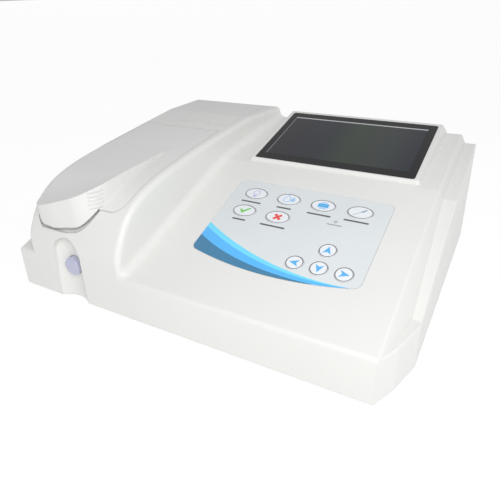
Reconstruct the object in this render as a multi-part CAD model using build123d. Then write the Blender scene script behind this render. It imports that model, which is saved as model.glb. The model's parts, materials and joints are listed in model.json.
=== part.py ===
from build123d import *
import math
import os

# Benchtop spectrophotometer: a wedge-shaped housing with a rounded cell hump on its left.
#
# Working frame of the functions below: X to the right, Y to the rear from the foot of the front
# face, Z up from the lower rim of the housing. save() moves every piece to the part's own frame,
# whose origin is under the middle of the object, at the level that the feet rest on.

# ---------------------------------------------------------------- driving dimensions, mm
DEPTH = 300.0            # front face to rear face
HALF_WIDTH = 198.0       # centre to the side face, at the rim
FRONT_HALF_WIDTH = HALF_WIDTH - 18.0            # centre to the front corner
FACET_X, FACET_Y = HALF_WIDTH - 8.5, 21.5       # middle corner of the two-facet front corner
SIDE_START_Y = 53.0      # where the side face begins
DRAFT = 1.7              # lean of the outer walls, degrees
WALL = 3.0               # housing wall
RIM_GAP = 0.4            # between the housing wall and what stands inside it

FRONT_HEIGHT = 39.2      # top edge of the front face
FRONT_ROLL = 4.0         # rounding of that edge
MAIN_SLOPE = 0.3163      # keypad plane
BEND_Y = 180.0           # keypad plane meets the rear plane
REAR_SLOPE = 0.18
CREST_X = HALF_WIDTH - 18.5   # side edge of the top planes
CREST_LEAN = 27.0        # lean of the face between that edge and the ledge, degrees
CREST_ROLL = 2.5         # rounding of that edge
CREST_SKIRT = 20.0       # how far down that face runs
LEDGE_FRONT = 38.5       # ledge height over the front corner
LEDGE_RISE_GAP = 6.0     # the ledge stays level this far past the front corner
LEDGE_BEND_Y, LEDGE_BEND_Z = 182.0, 88.0
LEDGE_REAR_Z = 109.0
LEDGE_ROLL = 1.5
CREASE_ROLL = 8.0        # hollow where the hump's right wall meets the top planes

HUMP_LEFT, HUMP_RIGHT = -162.0, -48.0
HUMP_RIGHT_REAR = -33.0  # the right wall swings out to here at the rear
HUMP_SWING_Y = 120.0     # where it begins to swing out
HUMP_TOP = 129.0
HUMP_NOSE = ((1.3, 50.0), (8.0, 70.0), (20.0, 86.5), (48.0, 103.5), (104.0, 114.6))  # side view (y, z)
HUMP_BEND_Y, HUMP_BEND_Z = 182.0, 123.4   # end of the curved front, where a straight slope begins
HUMP_FLAT_Y = 236.0      # the top is level from here to the rear
HUMP_EDGE = 5.0          # rounding of the hump's long edges

LID_LEFT, LID_RIGHT = -157.0, -56.0
LID_FRONT = 24.0         # front edge beside the tongue
LID_CORNER = 14.0
LID_REAR = 185.0         # hinge line
LID_GAP = 0.7            # seam round the lid
LID_WALL = 2.5
LID_RIM = 8.0            # depth of the lid's rim
FINGER_GAP = 1.7         # slot under the tongue's nose, measured level from the hump's curve
NOSE_SKIN = 1.5          # the tongue's top stays at least this thick over the slot
NOSE_SEAT = 2.5          # the housing's skin is this much lower under the nose
SEAT_END = 36.0          # that skin runs from the front to here
LID_SIDE_GAP = 0.4       # between the skin's edge and the tongue's right wall
TONGUE_RIGHT = -79.0
TONGUE_END = 147.0
TONGUE_NOSE_X, TONGUE_NOSE_Y = -126.0, 5.8   # tip of the nose before it is rounded
TONGUE_LEFT_Y, TONGUE_RIGHT_Y = 7.0, 10.8     # its corners before they are rounded
NOSE_LEFT_R, NOSE_RIGHT_R, NOSE_TIP_R = 19.0, 26.0, 60.0
TONGUE_LEFT_TOP = ((-2, 85.7), (20, 90), (48, 104.2), (72, 110.3), (104.5, 115.2))   # side view (y, z)
TONGUE_RIGHT_TOP = ((-2, 107), (14, 110.9), (40, 113.8), (90, 116.3))
TONGUE_END_Z = 119.2
LID_RIM_START = 45.0     # the rim runs from here to the hinge
HINGE_DROP = 2.8         # radius of the lid's hinge barrel
PIN_R = 1.0
PIN_CLEARANCE = 0.05
RIB_COUNT, RIB_PITCH, RIB_T, RIB_OUT = 5, 3.6, 1.0, 0.5
RIB_X0, RIB_Y0, RIB_Y1, RIB_Z = -88.0, 17.0, 29.0, 93.0
LUG_FRONT, LUG_REAR, LUG_DOWN, LUG_UP = 6.0, 8.0, 6.0, 1.0   # hinge lugs round the pin's ends
PIN_LEFT_END, PIN_RIGHT_END = 2.5, 6.0                       # how far the pin runs past the opening

NICHE_X, NICHE_HALF = -112.5, 17.0
NICHE_TOP = 64.0
NICHE_R = 27.0           # radius of the niche's back wall
NICHE_DEPTH = 6.0        # at the rim
NICHE_LEAN = 6.0         # the back wall leans in, degrees
BUTTON_Z, BUTTON_R = 33.5, 9.0
BUTTON_TRAVEL = 3.0
SLIDE_GAP = 0.3

OVERLAY_X0, OVERLAY_X1 = -7.0, 149.0
OVERLAY_S0, OVERLAY_S1 = 57.0, 159.2   # distances up the keypad plane from its front edge
OVERLAY_CORNER = 7.0
OVERLAY_T = 0.5
KEY_A, KEY_B = 11.9, 8.2  # half axes of the oval keys
ARROW_R = 7.8
KEY_RISE = 0.5
KEY_TRAVEL = 0.5
KEY_EDGE = 0.35
KEY_FLANGE, KEY_FLANGE_T = 1.2, 1.0
OVAL_KEYS = {"key_lamp": (17.6, 141.0), "key_wash": (52.5, 141.0), "key_print": (87.4, 141.0),
             "key_aspirate": (122.3, 141.0), "key_enter": (17.6, 115.0), "key_cancel": (52.5, 115.0)}
ARROW_KEYS = {"key_down": (111.6, 67.0), "key_left": (90.2, 67.0), "key_right": (133.0, 67.0),
              "key_up": (111.6, 88.1)}
LED_X, LED_S, LED_R = 105.5, 123.8, 1.5

GLASS_W, GLASS_L, GLASS_T = 167.2, 106.5, 2.0
GLASS_X, GLASS_Y, GLASS_Z = 72.0, 238.0, 113.2
GLASS_TILT = 13.3
GLASS_CORNER = 2.5
GLASS_GAP = 0.25
FRAME_RIM = 4.5          # white rim round the glass, at its sides and rear
FRAME_FRONT_RIM = 2.5    # the same rim along the front
FRAME_CORNER, FRAME_ROLL = 3.5, 1.5
DISPLAY_LEDGE = 4.0      # the ledge that carries the glass
FRAME_LEAN = 22.0
FRAME_DEPTH = 26.0

DOOR_X0, DOOR_X1 = -120.0, -54.0
DOOR_Y0, DOOR_Y1 = 204.0, 277.0
DOOR_T = 2.5
DOOR_GAP = 0.4
DOOR_FRONT_GAP = 1.0     # wider seam along the front edge, for a fingertip
DOOR_REAR_GAP = 0.9      # room behind the barrel for the door when it leans back

FOOT_R, FOOT_H = 8.0, 5.0
FOOT_X, FOOT_FRONT_Y, FOOT_REAR_Y = HALF_WIDTH - 48.0, 30.0, DEPTH - 25.0
TRAY_T = 2.5
EPS = 0.05

OVERLAY_BULGE = 10.5     # the overlay's front edge bows out by this much

BOSS_R, BOSS_BORE = 4.5, 1.5
BOSS_X, BOSS_FRONT_Y, BOSS_REAR_Y = HALF_WIDTH - 28.0, 40.0, DEPTH - 25.0
SCREW_HEAD_R, SCREW_HEAD_T, SCREW_CLEARANCE = 3.0, 1.8, 0.05

PANEL_X0, PANEL_X1 = -152.0, 152.0   # opening for the rear panel
PANEL_Z0, PANEL_Z1 = 4.0, 84.0
PANEL_Y, PANEL_T, PANEL_GAP = DEPTH - 8.0, 1.5, 0.5

BENCH_Z0, BENCH_Z1 = 20.0, 24.0      # optical bench
BENCH_X0, BENCH_X1 = -152.0, -56.0
BENCH_Y0, BENCH_Y1 = 34.0, 200.0
BEAM_X, BEAM_Z, BEAM_R = -106.0, 58.0, 4.0
BLOCK_HALF, BLOCK_Y, BLOCK_TOP = 18.0, 84.0, 90.0
CUVETTE, CUVETTE_GAP = 12.4, 0.1
TRAY_Z = 86.5            # floor of the compartment under the lid
TRAY_X0, TRAY_X1, TRAY_Y0, TRAY_Y1 = -152.0, -60.0, 36.0, 124.0
WHEEL_R, WHEEL_PITCH, WHEEL_Y, WHEEL_T = 26.0, 18.5, 130.0, 4.0
FILTER_R, FILTER_COUNT = 4.8, 8
SHAFT_R = 2.0
LAMP_X0, LAMP_X1, LAMP_Y0, LAMP_Y1, LAMP_TOP = -134.0, -78.0, 140.0, 188.0, 84.0
LAMP_WALL = 3.0

PUMP_X, PUMP_Y = 5.0, 140.0
PUMP_HEAD_Z, PUMP_TOP = 34.0, 52.0
PUMP_OUTER, PUMP_INNER = 24.0, 20.0
TUBE_R, TUBE_RING, TUBE_Z = 1.6, 18.2, 43.0
ROLLER_R, ROLLER_PITCH, ROLLER_COUNT = 4.0, 12.3, 3

FAN_X, FAN_Z, FAN_SIZE, FAN_T = -108.0, 44.0, 60.0, 15.0
SOCKET_X, SOCKET_Z = 105.0, 40.0
ROCKER_X = 138.0
WASTE_X, WASTE_Z, WASTE_R = -48.0, 43.0, 3.5
WASTE_GAP = 0.1
PORT_Z0, PORT_Z1 = 13.0, 25.0
PORTS = ((-10.0, 16.0, "serial"), (30.0, 7.0, "usb"), (52.0, 7.0, "usb"))   # middle, half width, kind
ROCKER_TILT = 8.0
ROCKER_Y = PANEL_Y - 1.0

ROLL_R, ROLL_W, ROLL_Y, ROLL_Z = 18.5, 56.0, 249.0, 103.0
SPINDLE_R = 3.0
PLATEN_R, PLATEN_Y, PLATEN_Z = 5.0, 221.0, 116.5
PRINTER_X0, PRINTER_X1, PRINTER_Y0, PRINTER_Y1 = DOOR_X0, DOOR_X1, DOOR_Y0 + 1.5, DOOR_Y1 - 6.0
PRINTER_Z0, PRINTER_Z1 = 82.0, 122.0
DOOR_BARREL_R, DOOR_PIN_R = 2.2, 0.8
TAB_X0, TAB_X1, TAB_Y0 = -107.0, -82.0, 197.0
TAB_T, TAB_RISE = 1.2, 1.0

DOME_DEPTH = WALL + 0.1 + KEY_FLANGE_T + KEY_TRAVEL + 0.1   # dome switches under the keys' flanges
DOME_H, DOME_R, BOARD_T = 1.0, 5.0, 1.6
MAIN_BOARD_X0, MAIN_BOARD_X1, MAIN_BOARD_Y0, MAIN_BOARD_Y1 = -35.0, 60.0, 195.0, 280.0
MAIN_BOARD_Z = 10.0

os.makedirs("parts", exist_ok=True)


# ---------------------------------------------------------------- helpers
def save(name, shape):
    """Moves a piece to the part's own frame and writes it."""
    moved = Pos(0, -DEPTH / 2, FOOT_H) * shape
    solids = moved.solids()
    export_step(solids[0] if len(solids) == 1 else Compound(children=list(solids)), f"parts/{name}.step")


def box(x0, x1, y0, y1, z0, z1):
    return Pos((x0 + x1) / 2, (y0 + y1) / 2, (z0 + z1) / 2) * Box(x1 - x0, y1 - y0, z1 - z0)


def rod(start, end, radius):
    """A round bar from start to end."""
    axis = Vector(*end) - Vector(*start)
    return extrude(Plane(origin=start, z_dir=axis) * Circle(radius), axis.length)


def tube(start, end, outer, inner):
    return rod(start, end, outer) - rod(start, end, inner)


def inset_curve(curve, inward, amount, steps=10):
    """A copy of a smooth curve, moved sideways by amount; inward turns a tangent into a normal."""
    if not amount:
        return curve
    shares = [i / steps for i in range(steps + 1)]
    points = [curve @ t + inward(curve % t) * amount for t in shares]
    return Spline(*points, tangents=[curve % 0, curve % 1])


def side_prism(points, x0, x1):
    """Extrudes an outline of (y, z) points along X."""
    face = make_face(Polyline(*[(x0, y, z) for y, z in points], close=True))
    return extrude(face, x1 - x0, dir=(1, 0, 0))


def main_z(y):
    return FRONT_HEIGHT + MAIN_SLOPE * y


def rear_z(y):
    return main_z(BEND_Y) + REAR_SLOPE * (y - BEND_Y)


def top_z(y):
    return main_z(y) if y < BEND_Y else rear_z(y)


# ---------------------------------------------------------------- housing shape
def plan_outline(inset):
    corners = [(FRONT_HALF_WIDTH, 0), (FACET_X, FACET_Y), (HALF_WIDTH, SIDE_START_Y), (HALF_WIDTH, DEPTH)]
    points = corners + [(-x, y) for x, y in reversed(corners)]
    face = make_face(Polyline(*points, close=True))
    return offset(face, -inset, kind=Kind.INTERSECTION) if inset else face


def plan_prism(inset):
    """The drafted outer walls; an inset copy also runs on below the rim, to open the housing."""
    body = extrude(plan_outline(inset), HUMP_TOP + 10, taper=DRAFT)
    if inset:
        body += extrude(plan_outline(inset), -2)
    return body


def ledge_prism(inset):
    """Everything below the ledges; they start to rise a little behind the corner of the side wall."""
    rise_y = SIDE_START_Y + LEDGE_RISE_GAP
    points = [(-20, -20), (-20, LEDGE_FRONT), (rise_y, LEDGE_FRONT), (LEDGE_BEND_Y, LEDGE_BEND_Z),
              (DEPTH + 20, LEDGE_REAR_Z + 20 * REAR_SLOPE), (DEPTH + 20, -20)]
    return Pos(0, 0, -inset) * side_prism(points, -HALF_WIDTH - 20, HALF_WIDTH + 20)


def crest_run(y0, y1, slope, inset):
    """The block under one top plane, with its leaning sides."""
    lean = CREST_SKIRT * math.tan(math.radians(CREST_LEAN))
    half, top = CREST_X - inset, top_z(y0) - inset
    low = top - CREST_SKIRT
    corners = [(half, top), (half + lean, low), (half + lean, low - 120)]
    points = [(x, y0, z) for x, z in corners] + [(-x, y0, z) for x, z in reversed(corners)]
    face = make_face(Polyline(*points, close=True))
    if not inset:
        face = fillet([v for v in face.vertices() if v.Z > top - EPS], CREST_ROLL)
    reach = y1 - y0
    return extrude(face, math.hypot(reach, slope * reach), dir=(0, 1, slope))


def hump_nose():
    """Side view of the hump's rounded front, up to where its top straightens out."""
    points = [(0, y, z) for y, z in (*HUMP_NOSE, (HUMP_BEND_Y, HUMP_BEND_Z))]
    slope = (HUMP_TOP - HUMP_BEND_Z) / (HUMP_FLAT_Y - HUMP_BEND_Y)
    return Spline(*points, tangents=[(0, math.tan(math.radians(DRAFT)), 1), (0, 1, slope)])


def hump_face(drop):
    """The hump's side view, with its curved edge moved inwards by drop."""
    nose = inset_curve(hump_nose(), lambda t: Vector(0, t.Z, -t.Y), drop)
    rear, top = DEPTH + 10, HUMP_TOP - drop
    rest = Polyline(nose @ 1, (0, HUMP_FLAT_Y, top), (0, rear, top), (0, rear, -20), (0, drop, -20), nose @ 0)
    return make_face(nose + rest)


def hump_plan(inset):
    """Plan view of the hump: a straight left side, a right side that swings out at the rear."""
    right = HUMP_RIGHT - inset
    rear = HUMP_RIGHT_REAR - inset
    left = HUMP_LEFT + inset
    swing = Spline((right, HUMP_SWING_Y), (rear, DEPTH + 10), tangents=[(0, 1), (0.12, 1)])
    rest = Polyline((rear, DEPTH + 10), (left, DEPTH + 10), (left, -5), (right, -5), (right, HUMP_SWING_Y))
    return make_face(swing + rest)


def hump(inset):
    solid = hump_side(inset) & extrude(hump_plan(inset), HUMP_TOP + 10)
    if not inset:
        edges = [e for e in solid.edges() if e.length > 20 and e.center().Z > 60
                 and e.bounding_box().size.Y > 8 and e.bounding_box().size.X < 20]
        solid = fillet(edges, HUMP_EDGE)
    return solid


def glass_plane(depth=0.0):
    """On the display's front surface, or below it by depth."""
    tilted = Plane(origin=(GLASS_X, GLASS_Y, GLASS_Z)).rotated((GLASS_TILT, 0, 0))
    return tilted.offset(-depth)


def display_hood(inset):
    """The raised frame round the display; the housing's own rear planes swallow its foot."""
    width = GLASS_W + 2 * (FRAME_RIM - inset)
    length = GLASS_L + FRAME_RIM + FRAME_FRONT_RIM - 2 * inset
    middle = Pos(0, (FRAME_RIM - FRAME_FRONT_RIM) / 2)
    hood = extrude(glass_plane(inset) * middle * Rectangle(width, length), -FRAME_DEPTH, taper=-FRAME_LEAN)
    if inset:
        return hood
    hood = fillet([e for e in hood.edges() if not e.is_interior and abs((e % 0.5).dot(glass_plane().z_dir)) > 0.5],
                  FRAME_CORNER)
    top = hood.faces().sort_by(Axis((0, 0, 0), glass_plane().z_dir))[-1]
    return fillet(top.edges(), FRAME_ROLL)


def top_planes(inset):
    front = crest_run(0, BEND_Y, MAIN_SLOPE, inset)
    return front + crest_run(BEND_Y, DEPTH + 10, REAR_SLOPE, inset)


def front_roll():
    """A cutter that rounds the edge between the front face and the keypad plane."""
    reach, far = 60.0, DEPTH + 20
    lean = math.tan(math.radians(DRAFT))
    corner_y = FRONT_HEIGHT * lean / (1 - MAIN_SLOPE * lean)
    points = [(-20 * lean, -20), (corner_y, main_z(corner_y)), (reach, main_z(reach)), (reach, 200), (far, 200),
              (far, -20)]
    prism = side_prism(points, -HALF_WIDTH - 10, HALF_WIDTH + 10)
    edge = prism.edges().filter_by(Axis.X).sort_by_distance((0, corner_y, main_z(corner_y)))[0]
    return fillet(edge, FRONT_ROLL)


def ledge_block(inset):
    """The lower body up to its ledges, with their outer edges rounded."""
    block = ledge_prism(inset) & plan_prism(inset)
    if inset:
        return block
    edges = [e for e in block.edges() if (e @ 0.5).Z > LEDGE_FRONT - 1 and 2 < (e @ 0.5).Y < DEPTH - 5
             and abs((e @ 0.5).X) > FRONT_HALF_WIDTH]
    return fillet(edges, LEDGE_ROLL)


def body_shape(inset):
    """The whole housing as one block; the inset copy is the space inside it."""
    upper = (top_planes(inset) + display_hood(inset)) & plan_prism(inset)
    shape = ledge_block(inset) + upper
    if inset:
        return shape + (hump(inset) & plan_prism(inset))
    shape = (shape & front_roll()) + (hump(0) & plan_prism(0))
    crease = [e for e in shape.edges() if e.length > 50 and (e @ 0.5).Z < top_z((e @ 0.5).Y) + 1
              and HUMP_RIGHT - 1 < (e @ 0.5).X < HUMP_RIGHT_REAR and e.bounding_box().size.Y > 50]
    return fillet(crease, CREASE_ROLL)


# ---------------------------------------------------------------- cell lid
def hump_side(drop=0.0):
    """The hump's side view swept over its whole width."""
    return Pos(HUMP_LEFT - 5, 0, 0) * extrude(hump_face(drop), HUMP_RIGHT_REAR - HUMP_LEFT + 20, dir=(1, 0, 0))


def tongue_plan(inset=0.0):
    """Plan of the tongue: a nose rounded by three arcs between straight sides."""
    left, right = (LID_LEFT, TONGUE_LEFT_Y), (TONGUE_RIGHT, TONGUE_RIGHT_Y)
    tip = (TONGUE_NOSE_X, TONGUE_NOSE_Y)
    face = make_face(Polyline((LID_LEFT, TONGUE_END), left, tip, right, (TONGUE_RIGHT, TONGUE_END), close=True))
    for corner, radius in ((left, NOSE_LEFT_R), (right, NOSE_RIGHT_R), (tip, NOSE_TIP_R)):
        face = fillet(face.vertices().sort_by_distance((*corner, 0))[0], radius)
    return offset(face, -inset, kind=Kind.INTERSECTION) if inset else face


def lid_plan(inset, rear=LID_REAR):
    """Plan of the whole lid: the tongue and a rounded shoulder beside it."""
    left, right, front = LID_LEFT + inset, LID_RIGHT - inset, LID_FRONT + inset
    shoulder = make_face(Polyline((left, 40), (-100, 40), (-100, front), (right, front), (right, rear - inset),
                                  (left, rear - inset), close=True))
    corner = shoulder.vertices().sort_by_distance((right, front, 0))[0]
    return tongue_plan(inset) + fillet(corner, LID_CORNER)


def tongue_block(drop):
    """The tongue's body: level along its right edge, following the hump along its left."""
    faces = []
    for x, heights in ((LID_LEFT, TONGUE_LEFT_TOP), (TONGUE_RIGHT, TONGUE_RIGHT_TOP)):
        top = Spline(*[(x, y, z) for y, z in (*heights, (TONGUE_END, TONGUE_END_Z))])
        foot = Polyline(top @ 1, (x, TONGUE_END, NICHE_TOP), (x, heights[0][0], NICHE_TOP), top @ 0)
        faces.append(make_face(top + foot))
    return Pos(0, 0, -drop) * loft(faces, ruled=True)


def hinge_axis():
    """Height of the lid's hinge axis; its barrel just reaches the top surface."""
    slope = (HUMP_TOP - HUMP_BEND_Z) / (HUMP_FLAT_Y - HUMP_BEND_Y)
    return HUMP_BEND_Z + slope * (LID_REAR - HUMP_BEND_Y) - HINGE_DROP


def grip_ribs():
    """Short level ribs on the tongue's right flank, near its nose."""
    band = extrude(tongue_plan(LID_GAP - RIB_OUT), HUMP_TOP)
    feet = [RIB_Z + i * RIB_PITCH for i in range(RIB_COUNT)]
    return [band & box(RIB_X0, TONGUE_RIGHT + 5, RIB_Y0, RIB_Y1, z, z + RIB_T) for z in feet]


def skin_edge():
    """Right edge of the skin that stays under the tongue, just inside the tongue's right wall."""
    return TONGUE_RIGHT - LID_GAP - LID_WALL - LID_SIDE_GAP


def nose_seat():
    """The part of the lid's opening where the housing keeps a floor, under the tongue's nose."""
    under_tongue = box(HUMP_LEFT - 10, skin_edge(), -10, SEAT_END, 0, HUMP_TOP + 20)
    in_front = box(HUMP_LEFT - 10, HUMP_RIGHT, -10, LID_FRONT - LID_GAP, 0, HUMP_TOP + 20)
    return hump_side(NOSE_SEAT) & (under_tongue + in_front)


def seat_floor():
    """The seat's floor, as thick as the housing's wall; it stands inside the housing."""
    under_tongue = box(HUMP_LEFT, skin_edge(), 0, SEAT_END, NICHE_TOP + WALL + 1, HUMP_TOP)
    return (hump_side(NOSE_SEAT) - hump_side(NOSE_SEAT + WALL)) & under_tongue


def cell_lid():
    side = hump_side()
    outer_tongue = extrude(tongue_plan(LID_GAP), HUMP_TOP) & tongue_block(0)
    outer = (extrude(lid_plan(LID_GAP), HUMP_TOP + 5) & side) + outer_tongue
    for rib in grip_ribs():
        outer += rib
    inner_tongue = extrude(tongue_plan(LID_GAP + LID_WALL), HUMP_TOP) & tongue_block(LID_WALL)
    inner = (extrude(lid_plan(LID_GAP + LID_WALL), HUMP_TOP) & (Pos(0, 0, -LID_WALL) * side)) + inner_tongue
    lid = outer - inner
    far = HUMP_TOP + 20
    wide = (HUMP_LEFT - 10, 0)
    over_seat = box(*wide, -10, LID_FRONT, 0, far)
    over_seat += box(wide[0], skin_edge() + LID_SIDE_GAP, -10, SEAT_END + 1, 0, far)
    top_skin = tongue_block(0) - tongue_block(NOSE_SKIN)
    lid -= ((Pos(0, -FINGER_GAP, 0) * side) & over_seat) - top_skin
    lid -= (Pos(0, 0, -LID_WALL) * side) & box(*wide, LID_FRONT - 1, LID_RIM_START, 0, far)
    lid -= (Pos(0, 0, -LID_RIM) * side) & box(*wide, LID_RIM_START - 1, DEPTH, 0, far)
    z = hinge_axis()
    x0, x1 = LID_LEFT + LID_GAP, LID_RIGHT - LID_GAP
    lid += rod((x0, LID_REAR, z), (x1, LID_REAR, z), HINGE_DROP)
    return lid - rod((x0 - 5, LID_REAR, z), (x1 + 5, LID_REAR, z), PIN_R + PIN_CLEARANCE)


# ---------------------------------------------------------------- housing
def keypad_plane(depth=0.0):
    """On the keypad plane, or below it by depth; local Y runs up the slope from the front edge."""
    tilt = math.atan(MAIN_SLOPE)
    plane = Plane(origin=(0, 0, FRONT_HEIGHT), x_dir=(1, 0, 0), z_dir=(0, -math.sin(tilt), math.cos(tilt)))
    return plane.offset(-depth)


def keypad_slab(face, top, bottom):
    """Extrudes a face of the keypad plane between two depths below that plane."""
    return extrude(keypad_plane(bottom) * face, bottom - top)


def key_face(name, grow=0.0):
    if name in OVAL_KEYS:
        return Pos(*OVAL_KEYS[name]) * Ellipse(KEY_A + grow, KEY_B + grow)
    return Pos(*ARROW_KEYS[name]) * Circle(ARROW_R + grow)


def all_keys():
    return list(OVAL_KEYS) + list(ARROW_KEYS)


def overlay_face(grow=0.0):
    """A rounded sheet whose front edge bows towards the front of the housing."""
    x0, x1 = OVERLAY_X0 - grow, OVERLAY_X1 + grow
    s0, s1 = OVERLAY_S0 - grow, OVERLAY_S1 + grow
    bow = ThreePointArc((x0, s0), ((x0 + x1) / 2, s0 - OVERLAY_BULGE), (x1, s0))
    face = make_face(bow + Polyline((x1, s0), (x1, s1), (x0, s1), (x0, s0)))
    return fillet(face.vertices(), OVERLAY_CORNER + grow)


def niche(grow):
    """The arch-topped hollow in the front face, with a round back that leans in."""
    half = NICHE_HALF + grow
    spring = NICHE_TOP - NICHE_HALF
    arch = Pos(NICHE_X, 0, 0) * make_face(
        Polyline((-half, 0, spring), (-half, 0, -5), (half, 0, -5), (half, 0, spring))
        + ThreePointArc((half, 0, spring), (0, 0, spring + half), (-half, 0, spring)))
    prism = extrude(Pos(0, -20, 0) * arch, 60, dir=(0, 1, 0))
    drum_y = NICHE_DEPTH - NICHE_R
    drum = Pos(NICHE_X, drum_y, 0) * Rot(-NICHE_LEAN, 0, 0) * Cylinder(NICHE_R + grow, 300)
    return prism & drum


def niche_back(z):
    return NICHE_DEPTH + z * math.tan(math.radians(NICHE_LEAN))


def glass_face(grow):
    corner = GLASS_CORNER + grow
    return RectangleRounded(GLASS_W + 2 * grow, GLASS_L + 2 * grow, corner)


def door_hinge_z():
    return HUMP_TOP - DOOR_BARREL_R


def boss_places():
    return [(x, y) for x in (-BOSS_X, BOSS_X) for y in (BOSS_FRONT_Y, BOSS_REAR_Y)]


def upper_housing():
    outer = body_shape(0)
    shell = outer - (body_shape(WALL) - niche(WALL) - seat_floor()) - niche(0)
    roof = body_shape(WALL - 1)
    for x, y in boss_places():
        shell += rod((x, y, TRAY_T + 0.5), (x, y, HUMP_TOP), BOSS_R) & roof
        shell -= rod((x, y, 0), (x, y, 18), BOSS_BORE)
    z = hinge_axis()
    for x0, x1 in ((HUMP_LEFT + 1, LID_LEFT - LID_GAP / 2), (LID_RIGHT + LID_GAP / 2, HUMP_RIGHT - 1)):
        shell += box(x0, x1, LID_REAR - LUG_FRONT, LID_REAR + LUG_REAR, z - LUG_DOWN, z + LUG_UP)
    shell -= keypad_slab(overlay_face(RIM_GAP / 2), -5, OVERLAY_T)
    for name in all_keys():
        shell -= keypad_slab(key_face(name, SLIDE_GAP), -5, WALL + 2)
    shell -= keypad_slab(Pos(LED_X, LED_S) * Circle(LED_R + 0.1), -5, WALL + 2)
    shell -= extrude(glass_plane(GLASS_T) * glass_face(GLASS_GAP), 20)
    ledge = 2 * DISPLAY_LEDGE
    shell -= extrude(glass_plane(WALL + 4) * Rectangle(GLASS_W - ledge, GLASS_L - ledge), 20)
    barrel_rear = LID_REAR + HINGE_DROP + LID_GAP
    shell -= Pos(0, 0, NICHE_TOP + WALL + 1) * extrude(lid_plan(0, barrel_rear), 100) - nose_seat()
    shell -= door_space()
    shell -= rod((LID_LEFT - PIN_LEFT_END - 0.5, LID_REAR, z), (LID_RIGHT + PIN_RIGHT_END + 0.5, LID_REAR, z), PIN_R)
    shell -= box(PANEL_X0, PANEL_X1, 250, DEPTH + 5, PANEL_Z0, PANEL_Z1)
    shell -= rod((NICHE_X, 0, BUTTON_Z), (NICHE_X, 40, BUTTON_Z), BUTTON_R + SLIDE_GAP)
    return shell


# ---------------------------------------------------------------- printer door
def door_space():
    """The opening over the paper bay, with room for the door's barrel and a recess for its tab."""
    gap = DOOR_GAP
    rear = DOOR_Y1 + DOOR_BARREL_R + DOOR_REAR_GAP
    hole = box(DOOR_X0 - gap, DOOR_X1 + gap, DOOR_Y0 - DOOR_FRONT_GAP, rear, HUMP_TOP - 12, HUMP_TOP + 5)
    recess = box(TAB_X0 - gap, TAB_X1 + gap, TAB_Y0 - gap, DOOR_Y0, HUMP_TOP - 20, HUMP_TOP + 5)
    recess -= Pos(0, 0, -TAB_T - gap / 2) * hump_side()
    z = door_hinge_z()
    pin = rod((DOOR_X0 - 3, DOOR_Y1, z), (DOOR_X1 + 3, DOOR_Y1, z), DOOR_PIN_R)
    return [hole, recess, pin]


def printer_door():
    side = hump_side()
    skin = side - Pos(0, 0, -DOOR_T) * side
    door = skin & box(DOOR_X0, DOOR_X1, DOOR_Y0, DOOR_Y1, 0, HUMP_TOP + 5)
    lifted = Pos(0, 0, TAB_RISE) * side
    tab = (lifted - Pos(0, 0, -TAB_T) * side) & box(TAB_X0, TAB_X1, TAB_Y0, DOOR_Y0 + 4, 0, HUMP_TOP + 5)
    z = door_hinge_z()
    door += tab
    door += rod((DOOR_X0, DOOR_Y1, z), (DOOR_X1, DOOR_Y1, z), DOOR_BARREL_R)
    return door - rod((DOOR_X0 - 5, DOOR_Y1, z), (DOOR_X1 + 5, DOOR_Y1, z), DOOR_PIN_R + PIN_CLEARANCE)


def printer_body():
    """Open-topped paper bay with bearings for the platen and the spindle."""
    bay = box(PRINTER_X0, PRINTER_X1, PRINTER_Y0, PRINTER_Y1, PRINTER_Z0, PRINTER_Z1)
    bay -= box(PRINTER_X0 + 2, PRINTER_X1 - 2, PRINTER_Y0 + 2, PRINTER_Y1 - 2, PRINTER_Z0 + 2, PRINTER_Z1 + 1)
    bay -= rod((PRINTER_X0 - 1, PLATEN_Y, PLATEN_Z), (PRINTER_X1 + 1, PLATEN_Y, PLATEN_Z), 1.5 + PIN_CLEARANCE)
    return bay - rod((PRINTER_X0 - 1, ROLL_Y, ROLL_Z), (PRINTER_X1 + 1, ROLL_Y, ROLL_Z), SPINDLE_R + PIN_CLEARANCE)


def platen_roller():
    core = rod((PRINTER_X0, PLATEN_Y, PLATEN_Z), (PRINTER_X1, PLATEN_Y, PLATEN_Z), 1.5)
    return core + rod((PRINTER_X0 + 4, PLATEN_Y, PLATEN_Z), (PRINTER_X1 - 4, PLATEN_Y, PLATEN_Z), PLATEN_R)


def paper_roll():
    mid = (PRINTER_X0 + PRINTER_X1) / 2
    ends = (mid - ROLL_W / 2, ROLL_Y, ROLL_Z), (mid + ROLL_W / 2, ROLL_Y, ROLL_Z)
    return tube(*ends, ROLL_R, SPINDLE_R)


# ---------------------------------------------------------------- base, feet and screws
def base_tray():
    inset = WALL + RIM_GAP
    plate = extrude(plan_outline(inset), TRAY_T)
    rim = extrude(plan_outline(inset), 9) - extrude(plan_outline(inset + 2), 12)
    tray = plate + (rim - box(PANEL_X0, PANEL_X1, 280, DEPTH, TRAY_T, 12))
    tray -= niche(WALL + RIM_GAP)
    for x, y in boss_places():
        tray -= rod((x, y, -1), (x, y, TRAY_T + 1), BOSS_BORE + 0.2)
        tray -= rod((x, y, -1), (x, y, SCREW_HEAD_T), SCREW_HEAD_R + 0.2)
        tray -= rod((x, y, TRAY_T), (x, y, 12), BOSS_R + RIM_GAP)
    for i in range(8):
        tray -= box(-40 + 12 * i, -34 + 12 * i, 60, 100, -1, TRAY_T + 1)
    return tray


def rubber_feet():
    feet = []
    for x in (-FOOT_X, FOOT_X):
        for y in (FOOT_FRONT_Y, FOOT_REAR_Y):
            foot = rod((x, y, -FOOT_H), (x, y, 0), FOOT_R)
            feet.append(chamfer(foot.edges().sort_by(Axis.Z)[0], 1.2))
    return Compound(children=feet)


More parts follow.
